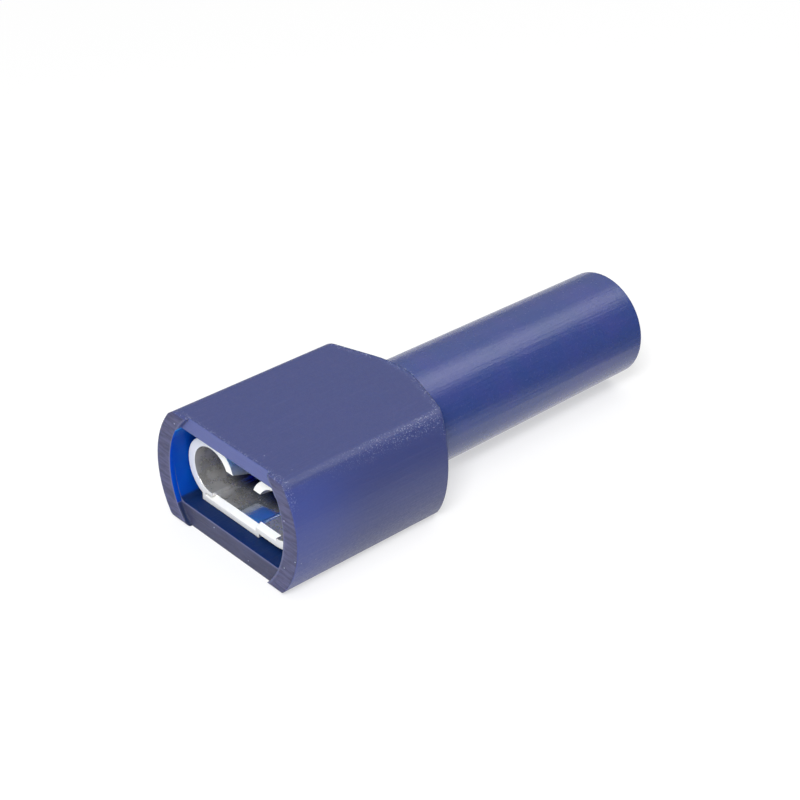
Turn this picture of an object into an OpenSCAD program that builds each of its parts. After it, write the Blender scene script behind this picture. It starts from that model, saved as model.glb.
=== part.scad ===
// Fully insulated female spade terminal for a 6.3 x 0.8 mm tab.
// The moulded housing has a boxed mouth with bowed sides and a round wire tube behind it.
// Inside is one stamped and rolled receptacle whose wire barrel runs into the tube.
// Built along +Y from the mouth with its axis level, then stood on its flat underside.

/* [Housing] */
// Length of the box from the mouth to its rear, on the centre line
body_len = 10.2; // [10.1:0.05:12.5]
// Radius of the bowed side walls
side_r = 4.4; // [4.2:0.1:5.2]
// Radius along the four long edges
edge_r = 0.65; // [0.4:0.05:0.9]
// Thickness of the side walls and of the wall behind the cavity
wall = 0.9; // [0.6:0.05:0.95]
// Thickness of the top wall
roof_wall = 0.75; // [0.6:0.05:0.9]
// Thickness of the bottom wall, which the receptacle lies on
floor_wall = 1; // [0.8:0.05:1]
// Clearance at each side of the receptacle in the cavity
side_fit = 0.05; // [0.02:0.01:0.1]
// Clearance between the receptacle and the bottom wall
seat_fit = 0.025; // [0.01:0.005:0.05]
// Radius of the bowed sides of the cavity
cavity_side_r = 4; // [3.9:0.1:5]
// Radius of the cavity's long edges
cavity_edge_r = 0.35; // [0.2:0.05:0.4]
// How far the side walls stand ahead of the top and bottom walls
lip_step = 0.25; // [0.25:0.05:0.4]
// Radius that rounds the side walls into the top and bottom at the mouth
lip_r = 0.2; // [0.1:0.05:0.2]
// Slope of the rear shoulders, in degrees
shoulder_angle = 20; // [8:1:26]
// Radius that blends the two shoulders behind the tube
shoulder_blend_r = 4.4; // [2:0.1:6]

/* [Wire tube] */
// Outer diameter where the tube leaves the box
tube_d = 5.46; // [5.2:0.02:6]
// Outer diameter at the wire end, slightly less for mould draft
tube_end_d = 5.32; // [5.1:0.02:5.9]
// Length of the tube behind the box
tube_len = 13.95; // [12:0.05:20]
// Bore that takes the wire's insulation
entry_d = 4.3; // [3.8:0.1:4.6]
// Depth of the insulation bore
entry_len = 6.4; // [4:0.1:7]
// Length of the funnel that guides the bare strands into the barrel
funnel_len = 0.9; // [0.5:0.1:1.3]
// Width of the break around the two ends of the insulation bore
entry_break = 0.2; // [0.1:0.05:0.35]

/* [Receptacle] */
// Thickness of the brass strip
sheet_t = 0.42; // [0.3:0.02:0.5]
// Overall width across the two rolls
rec_w = 7.6; // [7.4:0.05:7.66]
// Overall height of the rolls
rec_h = 3.2; // [3:0.05:3.25]
// Length of the rolled part
rec_len = 6.6; // [6:0.1:6.7]
// Distance from the mouth to the front of the receptacle
rec_setback = 1; // [0.6:0.05:1.3]
// Angle above level at which the rolls end over the tab, in degrees
lip_angle = 3; // [0:1:20]
// Angle above level at which the rolls end at the front, in degrees
lead_angle = 20; // [10:1:40]
// Length of the lead-in over which the rolls close on the tab
lead_len = 1.7; // [0.8:0.1:3]
// Depth of the pressed channel along the floor
channel_depth = 0.2; // [0.1:0.01:0.2]
// Width of the pressed channel along the floor
channel_w = 3.9; // [3.7:0.1:4]
// Middle of the channel, to the left of the centre line
channel_x = -0.9; // [-1:0.05:-0.8]
// Length of the coined chamfer along the floor's front edge
coin_len = 0.3; // [0.15:0.05:0.5]
// Depth of the coined chamfer
coin_depth = 0.15; // [0.05:0.01:0.15]
// Diameter of the detent bump that snaps into the tab's hole
bump_d = 1.5; // [1.2:0.1:1.6]
// Height of the detent bump
bump_h = 0.25; // [0.15:0.05:0.35]
// Distance from the front of the receptacle to the bump
bump_y = 3.6; // [2.8:0.1:4.6]

/* [Wire barrel] */
// Bore of the crimp barrel, for wire of 1.5 to 2.5 square mm
barrel_id = 2.3; // [2:0.05:2.5]
// Length of the crimp barrel
barrel_len = 6.5; // [5:0.1:6.7]
// Length of the neck between the rolls and the barrel
neck_len = 1.6; // [1.4:0.1:1.8]
// How far the scoop ahead of the barrel flares outwards
scoop_flare = 0.15; // [0.05:0.05:0.25]
// Width of the neck where it leaves the floor
neck_w = 4.2; // [3.4:0.1:5]
// Clearance around the barrel inside the tube
barrel_fit = 0.06; // [0.03:0.01:0.12]
// Depth of the brazed seam along the top of the barrel
seam_depth = 0.08; // [0.04:0.01:0.15]
// Width of the brazed seam
seam_w = 0.25; // [0.15:0.05:0.4]

/* [Hidden] */
$fn = 96;

reach = 40;                                  // longer than anything in the part
overlap = 0.6;                               // how far joined solids run into each other
total_len = body_len + tube_len;
roll_r = rec_h / 2;                          // outer radius of each roll
cavity_w = rec_w + 2 * side_fit;
body_w = cavity_w + 2 * wall;
body_h = 2 * (roll_r + channel_depth + seat_fit + floor_wall);
cavity_h = body_h - roof_wall - floor_wall;
cavity_z = (floor_wall - roof_wall) / 2;     // middle of the cavity above the axis

barrel_od = barrel_id + 2 * sheet_t;
roll_x = rec_w / 2 - roll_r;                 // roll centre from the middle
floor_z = -roll_r;                           // underside of the floor
rec_rear = rec_setback + rec_len;
barrel_y = rec_rear + neck_len;
barrel_rear = barrel_y + barrel_len;
throat_d = barrel_od + 2 * barrel_fit;
entry_y = total_len - entry_len;
funnel_y = entry_y - funnel_len;
lip_z = roll_r * sin(lip_angle);             // underside of the rolls over the tab
lead_z = roll_r * sin(lead_angle);           // the same at the front edge
bump_r = (pow(bump_d / 2, 2) + bump_h * bump_h) / (2 * bump_h);

// Stands the part on its underside with its middle over the origin
module stand() {
    translate([0, -total_len / 2, body_h / 2]) children();
}

// Extrudes an X-Z outline from y0 to y1
module along_y(y0, y1) {
    translate([0, y1, 0]) rotate([90, 0, 0]) linear_extrude(y1 - y0) children();
}

// Extrudes a Y-Z outline across the width, w wide
module across(w) {
    translate([-w / 2, 0, 0]) rotate([90, 0, 90]) linear_extrude(w) children();
}

// Turns a radius-length outline about the axis
module around_axis() {
    rotate([-90, 0, 0]) rotate_extrude() children();
}

// Everything to the left of one bowed side, within the height h
module bowed_side(w, h, arc_r) {
    bow_x = w / 2 - arc_r;
    intersection() {
        union() {
            translate([bow_x, 0]) circle(arc_r);
            translate([bow_x - reach, -h / 2]) square([reach, h]);
        }
        square([2 * reach, h], center = true);
    }
}

// A flat-topped outline with bowed sides of radius arc_r, w wide at mid-height and h high
module bowed_lens(w, h, arc_r) {
    intersection() {
        bowed_side(w, h, arc_r);
        mirror([1, 0]) bowed_side(w, h, arc_r);
    }
}

// The same outline with its four corners rounded to corner_r
module bowed_box(w, h, arc_r, corner_r) {
    corner_z = h / 2 - corner_r;
    corner_x = w / 2 - arc_r + sqrt(pow(arc_r - corner_r, 2) - corner_z * corner_z);
    tangent_z = corner_z * arc_r / (arc_r - corner_r);
    bowed_lens(w, 2 * tangent_z, arc_r);
    square([2 * corner_x, h], center = true);
    for (sx = [-1, 1], sz = [-1, 1])
        translate([sx * corner_x, sz * corner_z]) circle(corner_r);
}

// Plan of the box seen from above: straight sides, two shoulders and a round blend.
// inset draws the same rear a wall's thickness further in.
module plan(inset) {
    rear = body_len - inset;
    blend_r = shoulder_blend_r - inset;
    tangent_x = blend_r * sin(shoulder_angle);
    tangent_y = rear - blend_r + blend_r * cos(shoulder_angle);
    intersection() {
        union() {
            translate([0, rear - blend_r]) circle(blend_r);
            translate([-reach / 2, tangent_y - reach]) square([reach, reach]);
        }
        translate([tangent_x, tangent_y]) rotate(-shoulder_angle)
            translate([-reach, -reach]) square([2 * reach, reach]);
        translate([-tangent_x, tangent_y]) rotate(shoulder_angle)
            translate([-reach, -reach]) square([2 * reach, reach]);
    }
}

// A bowed box cut to the shouldered plan
module shouldered_box(w, h, arc_r, corner_r, y0, inset) {
    intersection() {
        along_y(y0, body_len + 1) bowed_box(w, h, arc_r, corner_r);
        translate([0, 0, -h]) linear_extrude(2 * h) plan(inset);
    }
}

// Side view of the box, its two front corners rounded
module mouth_side() {
    corner_z = body_h / 2 - lip_r;
    translate([lip_r, -body_h / 2]) square([body_len, body_h]);
    translate([0, -corner_z]) square([body_len, 2 * corner_z]);
    for (side = [-1, 1])
        translate([lip_r, side * corner_z]) circle(lip_r);
}

// Round tube with a slight draft and a softly broken end
module tube() {
    around_axis() polygon([
        [0, body_len - 2 * overlap],
        [tube_d / 2, body_len - 2 * overlap],
        [tube_d / 2, body_len],
        [tube_end_d / 2, total_len - entry_break / 2],
        [tube_end_d / 2 - entry_break / 2, total_len],
        [0, total_len]
    ]);
}

// Throat for the barrel, funnel and insulation bore, all on the axis
module wire_bores() {
    around_axis() polygon([
        [0, body_len - wall - 2 * overlap],
        [throat_d / 2, body_len - wall - 2 * overlap],
        [throat_d / 2, funnel_y],
        [entry_d / 2, entry_y],
        [entry_d / 2, total_len - entry_break],
        [entry_d / 2 + entry_break, total_len],
        [entry_d / 2 + entry_break, total_len + 1],
        [0, total_len + 1]
    ]);
}

module housing() {
    color([0.30, 0.32, 0.56]) stand() difference() {
        union() {
            intersection() {
                shouldered_box(body_w, body_h, side_r, edge_r, 0, 0);
                across(2 * body_w) mouth_side();
            }
            tube();
        }
        translate([0, 0, cavity_z])
            shouldered_box(cavity_w, cavity_h, cavity_side_r, cavity_edge_r, -1, wall);
        // top and bottom walls stop short of the side walls
        along_y(-1, lip_step) bowed_lens(cavity_w, body_h + 1, cavity_side_r);
        wire_bores();
    }
}

// Cross-section of one roll: a ring, open from the floor up to its lip
module roll_ring() {
    translate([roll_x, 0]) difference() {
        circle(roll_r);
        circle(roll_r - sheet_t);
        polygon([
            [0, 0],
            [-reach * cos(lip_angle), reach * sin(lip_angle)],
            [-reach, -reach],
            [0, -reach]
        ]);
    }
}

module receptacle_section() {
    for (side = [0, 1])
        mirror([side, 0]) roll_ring();
    // floor, with its pressed channel
    difference() {
        union() {
            translate([-roll_x, floor_z]) square([2 * roll_x, sheet_t]);
            translate([channel_x - channel_w / 2, floor_z - channel_depth]) square([channel_w, sheet_t]);
        }
        translate([channel_x - channel_w / 2 + sheet_t / 2, floor_z + sheet_t - channel_depth])
            square([channel_w - sheet_t, sheet_t]);
    }
}

// Wedge that coins the front edge of a floor w wide, whose top is at top_z
module coin(w, top_z) {
    across(w) polygon([
        [rec_setback - 1, top_z - coin_depth],
        [rec_setback, top_z - coin_depth],
        [rec_setback + coin_len, top_z],
        [rec_setback - 1, top_z]
    ]);
}

// Wedge that lifts the front of both rolls into a lead-in for the tab
module lead_in() {
    across(2 * roll_x) polygon([
        [rec_setback - 1, lip_z - 0.1],
        [rec_setback - 1, lead_z],
        [rec_setback, lead_z],
        [rec_setback + lead_len, lip_z],
        [rec_setback + lead_len, lip_z - 0.1]
    ]);
}

// Floor strip narrowing from the rolls to the barrel
module neck_floor() {
    barrel_bottom = -barrel_od / 2 + sheet_t / 8;
    intersection() {
        across(neck_w) polygon([
            [rec_rear - overlap, floor_z],
            [rec_rear, floor_z],
            [barrel_y, barrel_bottom],
            [barrel_y, barrel_bottom + sheet_t],
            [rec_rear, floor_z + sheet_t],
            [rec_rear - overlap, floor_z + sheet_t]
        ]);
        translate([0, 0, -reach / 2]) linear_extrude(reach) polygon([
            [-neck_w / 2, rec_rear - overlap],
            [neck_w / 2, rec_rear - overlap],
            [neck_w / 2, rec_rear],
            [barrel_id / 4, barrel_y],
            [-barrel_id / 4, barrel_y],
            [-neck_w / 2, rec_rear]
        ]);
    }
}

// Barrel with a flared, scooped transition in front of it and a closed seam on top
module barrel() {
    bore_r = barrel_id / 2;
    outer_r = barrel_od / 2;
    scoop_y = rec_rear + 0.2 * neck_len;
    difference() {
        around_axis() polygon([
            [bore_r + scoop_flare, scoop_y],
            [outer_r + scoop_flare, scoop_y],
            [outer_r, barrel_y],
            [outer_r, barrel_rear],
            [bore_r, barrel_rear],
            [bore_r, barrel_y]
        ]);
        across(3 * barrel_od) polygon([
            [scoop_y - 1, -bore_r],
            [scoop_y, -bore_r],
            [barrel_y - scoop_flare / 2, outer_r + scoop_flare],
            [barrel_y - scoop_flare / 2, 2 * outer_r],
            [scoop_y - 1, 2 * outer_r]
        ]);
        translate([-seam_w / 2, barrel_y - 1, outer_r - seam_depth])
            cube([seam_w, barrel_len + 2, 1]);
    }
}

// Round detent pressed up from below
module detent_ball(r) {
    translate([0, rec_setback + bump_y, floor_z + sheet_t - channel_depth + bump_h - bump_r]) sphere(r);
}

// Rolled front of the terminal, with its lead-in and detent
module rolls() {
    difference() {
        union() {
            along_y(rec_setback, rec_rear) receptacle_section();
            intersection() {
                detent_ball(bump_r);
                translate([-bump_d, rec_setback, floor_z - channel_depth])
                    cube([2 * bump_d, rec_len, sheet_t + bump_h]);
            }
        }
        detent_ball(bump_r - sheet_t);
        lead_in();
        coin(2 * roll_x, floor_z + sheet_t);
        translate([channel_x, 0, 0])
            coin(channel_w - sheet_t, floor_z + sheet_t - channel_depth);
    }
}

module receptacle() {
    color([0.78, 0.77, 0.74]) stand() {
        rolls();
        neck_floor();
        barrel();
    }
}

housing();
receptacle();
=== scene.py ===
"""Looks for the insulated female spade terminal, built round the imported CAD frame."""
import math
from types import SimpleNamespace

import bpy
from mathutils import Matrix, Vector


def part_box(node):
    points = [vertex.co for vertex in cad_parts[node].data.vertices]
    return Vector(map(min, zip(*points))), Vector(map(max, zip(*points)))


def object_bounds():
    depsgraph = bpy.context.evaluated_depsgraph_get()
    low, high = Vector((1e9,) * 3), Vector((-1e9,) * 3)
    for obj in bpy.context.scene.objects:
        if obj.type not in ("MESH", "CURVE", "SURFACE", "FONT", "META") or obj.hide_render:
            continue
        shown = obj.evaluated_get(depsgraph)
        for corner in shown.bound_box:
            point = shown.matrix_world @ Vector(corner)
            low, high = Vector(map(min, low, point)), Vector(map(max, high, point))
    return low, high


MM = 0.001

# Camera, as angles about the object and a distance from its middle
CAMERA_AZIMUTH = 45.65
CAMERA_ELEVATION = 32.09
CAMERA_ROLL = 2.29
CAMERA_DISTANCE = 91.7 * MM
CAMERA_LENS = 89.7
CAMERA_SENSOR = 36.0
CAMERA_AIM = Vector((0.0, -1.625, 0.0)) * MM
CAMERA_OFFSET = (-0.116 * MM, 0.793 * MM)

# Floor: it keeps this share of the object's shadow, which fades out between these distances in millimetres
FLOOR_SIZE = 900 * MM
FLOOR_GAP = 0.02 * MM
FLOOR_WHITE = (0.88, 0.88, 0.88, 1)
SHADOW_KEPT = 0.45
SHADOW_REACH = (30.0, 90.0)

# In mirror images it ends between these distances toward this heading, for the dark line along the tube
SWEEP_HEADING = (0.8, 0.6)
SWEEP_END = (9.0, 20.0)
SWEEP_DARK = 0.1

# Sky: strength from the horizon up, and how much is left of it behind to the right
SKY_HEIGHTS = (0.05, 0.6)
SKY_STRENGTHS = (0.26, 0.74)
DARK_HEADING = (0.75, 0.65)
DARK_RANGE = (0.1, 0.8)
DARK_SHARE = 0.25

LAMP_DISTANCE = 200 * MM
LAMP_AIM = Vector((0, 0, 3 * MM))

# Small radii on the moulded and sheared edges
MOULDED_EDGE = 0.15 * MM
SHEARED_EDGE = 0.06 * MM

# How far the shading of the mirroring patch in the receptacle leans; the patch's blue tint is a painted
# reflection of the roof
DISH_TILT = (0.25, -0.25, 0.0)

# Slope of the rear shoulders
SHOULDER_ANGLE = math.radians(20)

# Sizes and places on the part, in millimetres
BOX_LENGTH = 10.2
SHOULDER_BLEND_R = 4.4
LIP_STEP = 0.25
ROOF_WALL = 0.75
FLOOR_WALL = 1.0
CAVITY_FIT = 0.05
CAVITY_SIDE_R = 4.0
CUT_DEPTH = 0.32
CHANNEL_MIDDLE = -0.9
CHANNEL_RIGHT = 1.05

# How far past a surface its mask still holds, and where it has faded
SLACK = 0.01
FADE = 0.04

# Plastic outside
TUBE_BLUES = (0.025, 0.048, 0.185), (0.034, 0.049, 0.200)
BOX_BLUE = (0.033, 0.044, 0.152)
# painted light: the lighter blue of the box's sides near the front
LIT_SIDE_BLUE = (0.044, 0.067, 0.275)
DRAG_BLUE = (0.060, 0.068, 0.200)
# painted highlight: the pale colour of the glints speckled along the edges
GLINT_SPECKLE = (0.42, 0.45, 0.58)
# pale specks near the mouth
PALE_FLECK = (0.42, 0.46, 0.60)

# Plastic at the cut lips; their greyer scored blues are partly darkened as painted shade
LIP_BLUES = (0.034, 0.036, 0.096), (0.072, 0.075, 0.172)
# painted light: the top lip's lighter blue, for light showing through the thin roof wall
TOP_LIP_GLOW = (0.085, 0.108, 0.300)
# painted shade: the bottom lip's darker blue, as less light falls on it
BOTTOM_LIP_SHADE = (0.026, 0.030, 0.072)
# painted light: a lighter blue line along the mouth's inner edges, where light shows through
RIM_GLOW_BLUE = (0.13, 0.14, 0.27)

# Plastic inside the cavity, with painted light and shade: a glow on the roof and side walls where light
# comes through, dark navy on the floor and on the side walls' inner faces at the mouth
ROOF_GLOW = (0.03, 0.39, 0.82)
WALL_GLOW = (0.0, 0.052, 0.35)
CAVITY_FLOOR_SHADE = (0.006, 0.020, 0.085)
# painted shade: the dark navy of the side walls' inner faces at the mouth
STEP_SHADE_NAVY = (0.006, 0.014, 0.060)

# Tin; the blue tint deeper in is a painted reflection of the cavity, and the near-white of the sheared
# edges is partly painted highlight
DULL_TINS = (0.56, 0.55, 0.54), (0.70, 0.69, 0.68)
CRYSTAL_TIN = (0.85, 0.85, 0.84)
BLUE_TINTED_TIN = (0.58, 0.64, 0.74)
# partly painted highlight: the near-white of the sheared edges stands in for the light their rounded cut
# catches
SHEARED_TIN = (0.95, 0.95, 0.92)


class Nodes:
    """Short hand for building one material's or world's node tree."""

    def __init__(self, tree):
        self.tree = tree
        tree.nodes.clear()

    def add(self, kind, **settings):
        node = self.tree.nodes.new(kind)
        for name, value in settings.items():
            setattr(node, name, value)
        return node

    def put(self, socket, value):
        if isinstance(value, bpy.types.NodeSocket):
            self.tree.links.new(value, socket)
        else:
            socket.default_value = value

    def math(self, operation, *values):
        node = self.add("ShaderNodeMath", operation=operation)
        for socket, value in zip(node.inputs, values):
            self.put(socket, value)
        return node.outputs[0]

    def every(self, *masks):
        """The masks multiplied together."""
        result = masks[0]
        for mask in masks[1:]:
            result = self.math("MULTIPLY", result, mask)
        return result

    def either(self, first, second):
        return self.math("MAXIMUM", first, second)

    def without(self, mask):
        return self.math("SUBTRACT", 1.0, mask)

    def along(self, x, y, heading):
        """How far x, y lies along a heading."""
        return self.math("ADD", self.every(x, heading[0]), self.every(y, heading[1]))

    def length(self, x, y):
        squares = (self.math("MULTIPLY", part, part) for part in (x, y))
        return self.math("SQRT", self.math("ADD", *squares))

    def ramp(self, value, low, high, to_low=0.0, to_high=1.0):
        node = self.add("ShaderNodeMapRange", interpolation_type="SMOOTHSTEP")
        for socket, item in zip(node.inputs, (value, low, high, to_low, to_high)):
            self.put(socket, item)
        return node.outputs[0]

    def within(self, value, low, high):
        """1 from low to high and just past them, 0 further out."""
        rise = self.ramp(value, low - FADE, low - SLACK)
        fall = self.ramp(value, high + FADE, high + SLACK)
        return self.every(rise, fall)

    def mix(self, factor, first, second):
        """Two colours mixed, each a socket or three numbers."""
        node = self.add("ShaderNodeMix", data_type="RGBA")
        for name, item in (("Factor_Float", factor), ("A_Color", first), ("B_Color", second)):
            socket = next(s for s in node.inputs if s.identifier == name)
            self.put(socket, (*item, 1) if isinstance(item, tuple) else item)
        return next(s for s in node.outputs if s.identifier == "Result_Color")

    def blend(self, factor, first, second):
        """Two plain values mixed."""
        node = self.add("ShaderNodeMix")
        for name, item in (("Factor_Float", factor), ("A_Float", first), ("B_Float", second)):
            self.put(next(s for s in node.inputs if s.identifier == name), item)
        return node.outputs[0]

    def place(self):
        """Object coordinates in millimetres."""
        scale = self.add("ShaderNodeVectorMath", operation="SCALE")
        self.put(scale.inputs[0], self.add("ShaderNodeTexCoord").outputs["Object"])
        scale.inputs["Scale"].default_value = 1 / MM
        return scale.outputs[0]

    def parts(self, vector):
        node = self.add("ShaderNodeSeparateXYZ")
        self.put(node.inputs[0], vector)
        return node.outputs

    def facing(self):
        """The surface's own direction as three parts."""
        return self.parts(self.add("ShaderNodeNewGeometry").outputs["Normal"])

    def noise(self, vector, per_mm, detail=2.0, roughness=0.5):
        """Noise with per_mm cells to the millimetre, one number or one for each axis."""
        if isinstance(per_mm, tuple):
            mapping = self.add("ShaderNodeMapping")
            mapping.inputs["Scale"].default_value = per_mm
            self.put(mapping.inputs["Vector"], vector)
            vector, per_mm = mapping.outputs[0], 1.0
        node = self.add("ShaderNodeTexNoise")
        self.put(node.inputs["Vector"], vector)
        node.inputs["Scale"].default_value = per_mm
        node.inputs["Detail"].default_value = detail
        node.inputs["Roughness"].default_value = roughness
        return node.outputs[0]

    def flecks(self, vector, per_mm, radius, share):
        """Round specks of this radius, in a share of the cells, of which per_mm go to the millimetre."""
        node = self.add("ShaderNodeTexVoronoi")
        self.put(node.inputs["Vector"], vector)
        node.inputs["Scale"].default_value = per_mm
        chance = self.parts(node.outputs["Color"])[0]
        dot = self.ramp(node.outputs["Distance"], radius * per_mm, radius * per_mm / 2)
        return self.every(dot, self.math("LESS_THAN", chance, share))

    def soft_edges(self, radius):
        """A normal that turns over radius at each sharp edge."""
        node = self.add("ShaderNodeBevel", samples=6)
        node.inputs["Radius"].default_value = radius
        return node.outputs[0]

    def tilted(self, normal, tilt, mask):
        """The normal leant over by tilt where the mask is 1."""
        node = self.add("ShaderNodeVectorMath", operation="MULTIPLY_ADD")
        for socket, item in zip(node.inputs, (tilt, mask, normal)):
            self.put(socket, item)
        return node.outputs[0]

    def bump(self, height, strength, distance, normal):
        node = self.add("ShaderNodeBump")
        self.put(node.inputs["Height"], height)
        self.put(node.inputs["Strength"], strength)
        node.inputs["Distance"].default_value = distance
        self.put(node.inputs["Normal"], normal)
        return node.outputs[0]


def new_material(name):
    material = bpy.data.materials.new(name)
    material.use_nodes = True
    nodes = Nodes(material.node_tree)
    shader = nodes.add("ShaderNodeBsdfPrincipled")
    output = nodes.add("ShaderNodeOutputMaterial")
    nodes.put(output.inputs["Surface"], shader.outputs[0])
    return material, nodes, shader


def housing_masks(nodes, place):
    """Where on the housing each finish and each painted light or shade lies, as masks from 0 to 1."""
    x, y, z = nodes.parts(place)
    normal_x, normal_y, normal_z = nodes.facing()
    side = nodes.math("ABSOLUTE", x)
    behind = nodes.math("SUBTRACT", y, MOUTH_Y)
    on_box = nodes.ramp(behind, BOX_LENGTH, BOX_LENGTH - 0.4)

    # how far out a point lies from the middle of the cavity's bowed side
    bow = nodes.math("ADD", side, CAVITY_SIDE_R - CAVITY_HALF_W)
    reach = nodes.length(bow, nodes.math("SUBTRACT", z, AXIS_Z))

    inside = nodes.every(
        nodes.ramp(reach, CAVITY_SIDE_R + 0.25, CAVITY_SIDE_R + 0.20),
        nodes.within(x, -CAVITY_HALF_W, CAVITY_HALF_W),
        nodes.within(z, CAVITY_FLOOR_Z, CAVITY_ROOF_Z),
        nodes.ramp(behind, BOX_LENGTH, BOX_LENGTH - 0.5),
        nodes.ramp(normal_y, -0.7, -0.4),
        nodes.ramp(normal_y, 0.5, 0.2),
    )
    # painted shade: the side walls' inner faces, where they stand ahead of the bottom wall, coloured dark
    # navy
    step = nodes.every(
        nodes.ramp(nodes.math("MULTIPLY", x, normal_x), 0.0, -1.0),
        nodes.ramp(behind, LIP_STEP + 0.1, LIP_STEP),
        nodes.ramp(z, CAVITY_FLOOR_Z, CAVITY_FLOOR_Z - 0.1),
    )
    # painted light: near the front the sides are coloured lighter and bluer, for light from the mouth
    # showing through them
    lit_side = nodes.every(on_box, nodes.ramp(behind, 4.8, 0.5), nodes.ramp(normal_z, 0.8, 0.4))

    lips = nodes.every(nodes.ramp(normal_y, -0.55, -0.85), nodes.ramp(behind, 0.6, 0.4))
    between = nodes.ramp(reach, CAVITY_SIDE_R + 0.02, CAVITY_SIDE_R - 0.02)
    top_lip = nodes.every(lips, between, nodes.ramp(z, CAVITY_ROOF_Z - 0.1, CAVITY_ROOF_Z))
    bottom_lip = nodes.every(lips, between, nodes.ramp(z, CAVITY_FLOOR_Z + 0.1, CAVITY_FLOOR_Z))
    # painted light: the lips' strip along the mouth's inner edge, coloured lighter blue
    side_rim = nodes.every(
        lips,
        nodes.without(between),
        nodes.ramp(reach, CAVITY_SIDE_R + 0.12, CAVITY_SIDE_R + 0.05),
    )
    sill = nodes.every(bottom_lip, nodes.ramp(z, CAVITY_FLOOR_Z - 0.12, CAVITY_FLOOR_Z - 0.05))

    # the rounded long edges, and the top's edges along the shoulders and the mouth, which also carry
    # painted highlight glints
    long_edge = nodes.every(on_box, nodes.ramp(normal_z, 0.45, 0.6), nodes.ramp(normal_z, 0.995, 0.95))
    apex = BOX_LENGTH + SHOULDER_BLEND_R * (1 / math.cos(SHOULDER_ANGLE) - 1)
    shoulder = nodes.math("SUBTRACT", apex, nodes.every(side, math.tan(SHOULDER_ANGLE)))
    to_rear = nodes.math("SUBTRACT", nodes.math("MINIMUM", shoulder, BOX_LENGTH), behind)
    to_front = nodes.math("SUBTRACT", behind, LIP_STEP)
    top_edge = nodes.every(
        nodes.either(
            nodes.ramp(to_rear, 0.45, 0.05),
            nodes.ramp(to_front, 0.25, 0.05, to_high=0.8),
        ),
        nodes.ramp(normal_z, 0.3, 0.6),
        nodes.ramp(to_rear, -0.3, -0.1),
    )
    return SimpleNamespace(
        on_box=on_box,
        inside=inside,
        step=step,
        lit_side=lit_side,
        lips=lips,
        top_lip=top_lip,
        bottom_lip=bottom_lip,
        rim=nodes.either(side_rim, sill),
        long_edge=long_edge,
        # painted highlight: glints along the long edges, more of them toward the rear
        glint_edge=nodes.every(long_edge, nodes.ramp(behind, 0.0, BOX_LENGTH, 0.1, 1.0)),
        top_edge=top_edge,
        # where the pale specks go: near the mouth, outside the cavity
        fleck_area=nodes.every(nodes.ramp(behind, 1.6, 0.2), nodes.without(inside)),
        roof=nodes.ramp(normal_z, -0.3, -0.7),
        floor=nodes.ramp(normal_z, 0.3, 0.7),
    )


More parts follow.
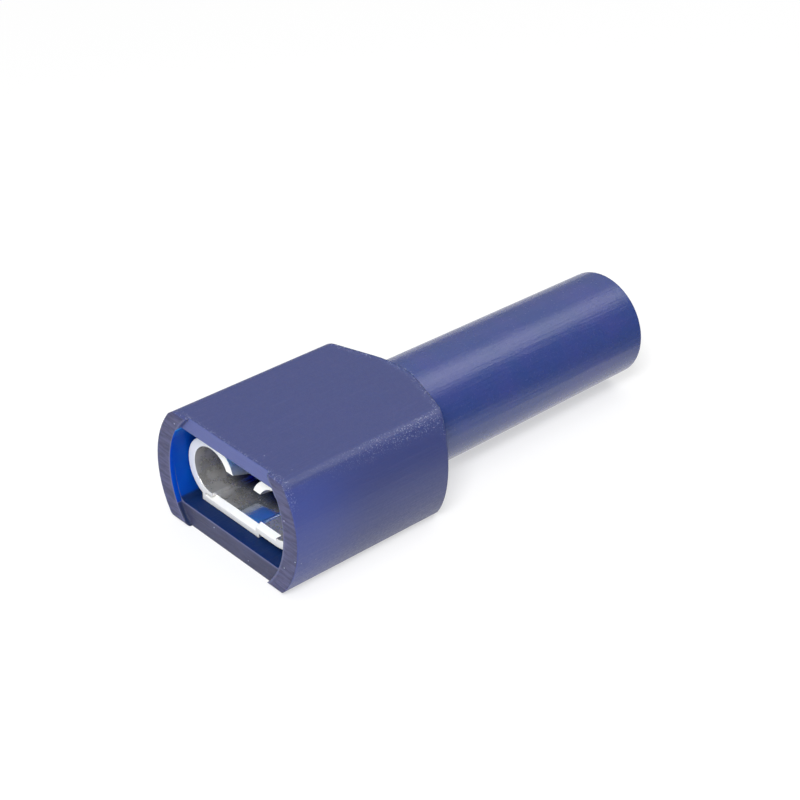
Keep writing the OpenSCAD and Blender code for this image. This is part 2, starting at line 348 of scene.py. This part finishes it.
def housing_plastic():
    """Blue moulded nylon, satin outside and scored on its cut lips, with painted light and shade in its
    colour: glints on its edges, vivid glow where light comes through, shade in the mouth.
    """
    material, nodes, shader = new_material("housing_plastic")
    place = nodes.place()
    masks = housing_masks(nodes, place)
    mottle = nodes.noise(place, 0.45, detail=3.0)
    grain = nodes.noise(place, 7.0, detail=3.0, roughness=0.75)
    fine_grain = nodes.noise(place, 16.0, detail=2.0, roughness=0.6)
    drag = nodes.noise(place, (8.0, 0.3, 8.0), detail=4.0, roughness=0.65)
    scoring = nodes.noise(place, (0.7, 1.0, 5.5), detail=3.0, roughness=0.7)

    # painted highlight: pale glints speckled along the long edges, growing toward the rear, and along the
    # top's rear and front edges
    glint_specks = nodes.either(
        nodes.every(masks.glint_edge, nodes.ramp(fine_grain, 0.57, 0.67)),
        nodes.every(masks.top_edge, nodes.ramp(fine_grain, 0.58, 0.66)),
    )
    # pale specks scattered near the mouth, outside the cavity
    pale_flecks = nodes.every(masks.fleck_area, nodes.flecks(place, per_mm=2.6, radius=0.04, share=0.22))
    # painted light and shade inside the cavity: a glow on the roof and side walls, darker on the floor
    glow = nodes.mix(masks.floor, nodes.mix(masks.roof, WALL_GLOW, ROOF_GLOW), CAVITY_FLOOR_SHADE)
    layers = (
        (masks.on_box, 0.9, BOX_BLUE),
        # painted light on the front of the sides
        (masks.lit_side, 0.6, LIT_SIDE_BLUE),
        (nodes.ramp(drag, 0.5, 0.8), 0.35, DRAG_BLUE),
        (glint_specks, 0.6, GLINT_SPECKLE),
        # the cut lips' own greyer colour, partly darkened as painted shade
        (masks.lips, 1.0, nodes.mix(nodes.ramp(scoring, 0.35, 0.65), *LIP_BLUES)),
        # painted light: the top lip coloured lighter blue, as light shows through the thin roof wall
        (masks.top_lip, 0.85, TOP_LIP_GLOW),
        # painted shade: the bottom lip coloured darker
        (masks.bottom_lip, 0.6, BOTTOM_LIP_SHADE),
        # painted light: a lighter blue line along the mouth's inner edges
        (masks.rim, 0.6, RIM_GLOW_BLUE),
        (pale_flecks, 1.0, PALE_FLECK),
        (masks.inside, 1.0, glow),
        # painted shade on the side walls' inner faces at the mouth
        (masks.step, 1.0, STEP_SHADE_NAVY),
    )
    colour = nodes.mix(nodes.ramp(mottle, 0.35, 0.65), *TUBE_BLUES)
    for mask, strength, layer in layers:
        colour = nodes.mix(nodes.every(mask, strength), colour, layer)
    nodes.put(shader.inputs["Base Color"], colour)

    satin = nodes.ramp(grain, 0.3, 0.7, 0.36, 0.50)
    glossy = nodes.ramp(grain, 0.3, 0.7, 0.20, 0.28)
    roughness = nodes.blend(masks.lips, nodes.blend(masks.on_box, glossy, satin), 0.62)
    nodes.put(shader.inputs["Roughness"], nodes.blend(masks.inside, roughness, 0.45))
    nodes.put(shader.inputs["Specular IOR Level"], nodes.blend(masks.inside, 0.5, 0.06))
    nodes.put(shader.inputs["Subsurface Weight"], nodes.blend(masks.inside, 0.15, 0.6))
    nodes.put(shader.inputs["Subsurface Scale"], nodes.blend(masks.inside, 0.8 * MM, 1.8 * MM))
    shader.inputs["Subsurface Radius"].default_value = (0.10, 0.35, 1.0)
    shader.inputs["IOR"].default_value = 1.53

    normal = nodes.soft_edges(MOULDED_EDGE)
    normal = nodes.bump(grain, nodes.blend(masks.long_edge, 0.4, 0.9), 0.02 * MM, normal)
    normal = nodes.bump(drag, nodes.blend(masks.lips, 0.6, 0.0), 0.025 * MM, normal)
    normal = nodes.bump(scoring, nodes.every(masks.lips, 0.9), 0.03 * MM, normal)
    nodes.put(shader.inputs["Normal"], normal)
    return material


def tinned_brass():
    """Tinned brass strip: scuffed dull at the front, shinier further in, with a blue tint there that is
    painted reflection, and sheared edges coloured near white, partly as painted highlight.
    """
    material, nodes, shader = new_material("tinned_brass")
    place = nodes.place()
    x, y, _ = nodes.parts(place)
    _, normal_y, normal_z = nodes.facing()
    behind = nodes.math("SUBTRACT", y, RECEPTACLE_Y)
    drawn = nodes.noise(place, (9.0, 0.6, 9.0), detail=2.0, roughness=0.6)
    patches = nodes.noise(place, 1.6, detail=5.0, roughness=0.65)
    crystals = nodes.noise(place, 9.0, detail=2.0, roughness=0.6)

    # the sheared edges' near-white colour is partly painted highlight
    sheared = nodes.every(nodes.ramp(normal_y, -0.2, -0.4), nodes.ramp(behind, CUT_DEPTH + 0.1, CUT_DEPTH))
    # painted reflection: the channel's right half is tinted blue and its shading leant, so that it mirrors
    # the glowing roof
    painted_reflection_patch = nodes.every(
        nodes.ramp(normal_z, 0.5, 0.9),
        nodes.ramp(x, CHANNEL_MIDDLE, CHANNEL_MIDDLE + 0.4),
        nodes.ramp(x, CHANNEL_RIGHT + 0.05, CHANNEL_RIGHT - 0.05),
        nodes.ramp(behind, 1.6, 1.2),
        nodes.without(sheared),
    )
    # deeper in, and on the patch, the tin is shinier and tinted blue as painted reflection of the cavity
    # it mirrors
    clean_and_blue_tinted = nodes.either(nodes.ramp(behind, 1.2, 2.4), nodes.every(painted_reflection_patch, 0.85))

    colour = nodes.mix(nodes.ramp(patches, 0.35, 0.65), *DULL_TINS)
    colour = nodes.mix(nodes.every(nodes.ramp(crystals, 0.6, 0.75), 0.4), colour, CRYSTAL_TIN)
    colour = nodes.mix(clean_and_blue_tinted, colour, BLUE_TINTED_TIN)
    nodes.put(shader.inputs["Base Color"], nodes.mix(sheared, colour, SHEARED_TIN))
    metallic = nodes.blend(clean_and_blue_tinted, 0.76, 1.0)
    nodes.put(shader.inputs["Metallic"], nodes.blend(sheared, metallic, 0.2))
    roughness = nodes.blend(clean_and_blue_tinted, nodes.ramp(patches, 0.3, 0.7, 0.22, 0.36), 0.12)
    nodes.put(shader.inputs["Roughness"], nodes.blend(sheared, roughness, 0.35))

    normal = nodes.tilted(nodes.soft_edges(SHEARED_EDGE), DISH_TILT, painted_reflection_patch)
    normal = nodes.bump(drawn, 0.35, 0.02 * MM, normal)
    nodes.put(shader.inputs["Normal"], nodes.bump(crystals, 0.08, 0.02 * MM, normal))
    return material


def dress(name, material):
    """Gives a CAD node its material."""
    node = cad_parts[name]
    node.data.materials.clear()
    node.data.materials.append(material)


def make_floor():
    """A white floor that keeps a soft shadow near the object."""
    bpy.ops.mesh.primitive_plane_add(size=FLOOR_SIZE, location=(0, 0, -FLOOR_GAP))
    floor = bpy.context.object
    floor.name = "floor"
    material = bpy.data.materials.new("floor")
    material.use_nodes = True
    nodes = Nodes(material.node_tree)
    x, y, _ = nodes.parts(nodes.place())
    rays = nodes.add("ShaderNodeLightPath").outputs
    seen = nodes.ramp(nodes.length(x, y), *SHADOW_REACH, 1.0 - SHADOW_KEPT, 1.0)
    mirrored = nodes.ramp(nodes.along(x, y, SWEEP_HEADING), *SWEEP_END, 1.0, SWEEP_DARK)

    diffuse = nodes.add("ShaderNodeBsdfDiffuse")
    diffuse.inputs["Color"].default_value = FLOOR_WHITE
    white = nodes.add("ShaderNodeEmission")
    nodes.put(white.inputs["Strength"], nodes.blend(rays["Is Glossy Ray"], 1.0, mirrored))
    surface = nodes.add("ShaderNodeMixShader")
    share = nodes.either(nodes.every(rays["Is Camera Ray"], seen), rays["Is Glossy Ray"])
    for socket, item in zip(surface.inputs, (share, diffuse.outputs[0], white.outputs[0])):
        nodes.put(socket, item)
    output = nodes.add("ShaderNodeOutputMaterial")
    nodes.put(output.inputs["Surface"], surface.outputs[0])
    floor.data.materials.append(material)


def make_world():
    """A studio that is bright overhead, dark at the horizon and darker behind to the right."""
    world = bpy.data.worlds.new("world")
    world.use_nodes = True
    bpy.context.scene.world = world
    nodes = Nodes(world.node_tree)
    east, north, height = nodes.parts(nodes.add("ShaderNodeTexCoord").outputs["Generated"])
    right_rear = nodes.along(east, north, DARK_HEADING)
    sky = nodes.every(
        nodes.ramp(height, *SKY_HEIGHTS, *SKY_STRENGTHS),
        nodes.ramp(right_rear, *DARK_RANGE, 1.0, DARK_SHARE),
    )
    camera_ray = nodes.add("ShaderNodeLightPath").outputs["Is Camera Ray"]
    background = nodes.add("ShaderNodeBackground")
    background.inputs["Color"].default_value = (1, 1, 1, 1)
    nodes.put(background.inputs["Strength"], nodes.blend(camera_ray, sky, 1.0))
    output = nodes.add("ShaderNodeOutputWorld")
    nodes.put(output.inputs["Surface"], background.outputs[0])


def make_softbox(name, toward, size, watts):
    """A square lamp that lies toward this direction and faces the object."""
    data = bpy.data.lights.new(name, "AREA")
    data.shape = "SQUARE"
    data.size = size
    data.energy = watts
    lamp = bpy.data.objects.new(name, data)
    direction = Vector(toward).normalized()
    lamp.location = LAMP_AIM + direction * LAMP_DISTANCE
    lamp.rotation_euler = direction.to_track_quat("Z", "Y").to_euler()
    bpy.context.scene.collection.objects.link(lamp)


def make_camera(middle_z):
    azimuth, elevation, roll = (math.radians(a) for a in (CAMERA_AZIMUTH, CAMERA_ELEVATION, CAMERA_ROLL))
    back = Vector((
        math.sin(azimuth) * math.cos(elevation),
        -math.cos(azimuth) * math.cos(elevation),
        math.sin(elevation),
    ))
    level_right = Vector((math.cos(azimuth), math.sin(azimuth), 0.0))
    level_up = back.cross(level_right)
    right = level_right * math.cos(roll) + level_up * math.sin(roll)
    up = level_up * math.cos(roll) - level_right * math.sin(roll)
    place = CAMERA_AIM + Vector((0, 0, middle_z)) + back * CAMERA_DISTANCE
    place += right * CAMERA_OFFSET[0] + up * CAMERA_OFFSET[1]

    data = bpy.data.cameras.new("camera")
    data.lens = CAMERA_LENS
    data.sensor_width = CAMERA_SENSOR
    data.clip_start = 1 * MM
    camera = bpy.data.objects.new("camera", data)
    camera.matrix_world = Matrix.Translation(place) @ Matrix((right, up, back)).transposed().to_4x4()
    bpy.context.scene.collection.objects.link(camera)
    bpy.context.scene.camera = camera


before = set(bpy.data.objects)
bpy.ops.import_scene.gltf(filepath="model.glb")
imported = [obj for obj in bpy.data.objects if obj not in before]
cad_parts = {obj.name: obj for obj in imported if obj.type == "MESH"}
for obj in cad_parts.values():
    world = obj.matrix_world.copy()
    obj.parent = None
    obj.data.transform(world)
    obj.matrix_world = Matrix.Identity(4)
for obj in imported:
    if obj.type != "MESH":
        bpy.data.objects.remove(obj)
cad_low, cad_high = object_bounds()
housing_low, housing_high = (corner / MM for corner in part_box("housing"))
receptacle_low, receptacle_high = (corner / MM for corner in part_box("receptacle"))
MOUTH_Y = housing_low.y
AXIS_Z = housing_high.z / 2
CAVITY_HALF_W = receptacle_high.x + CAVITY_FIT
CAVITY_FLOOR_Z = FLOOR_WALL
CAVITY_ROOF_Z = housing_high.z - ROOF_WALL
RECEPTACLE_Y = receptacle_low.y

dress("housing", housing_plastic())
dress("receptacle", tinned_brass())
make_camera(cad_high[2] / 2)
make_world()
make_floor()
make_softbox("overhead", toward=(0.14, 0.55, 0.82), size=105 * MM, watts=0.095)
make_softbox("front", toward=(0.48, -0.66, 0.86), size=60 * MM, watts=0.35)
bpy.context.scene.view_settings.view_transform = "Standard"
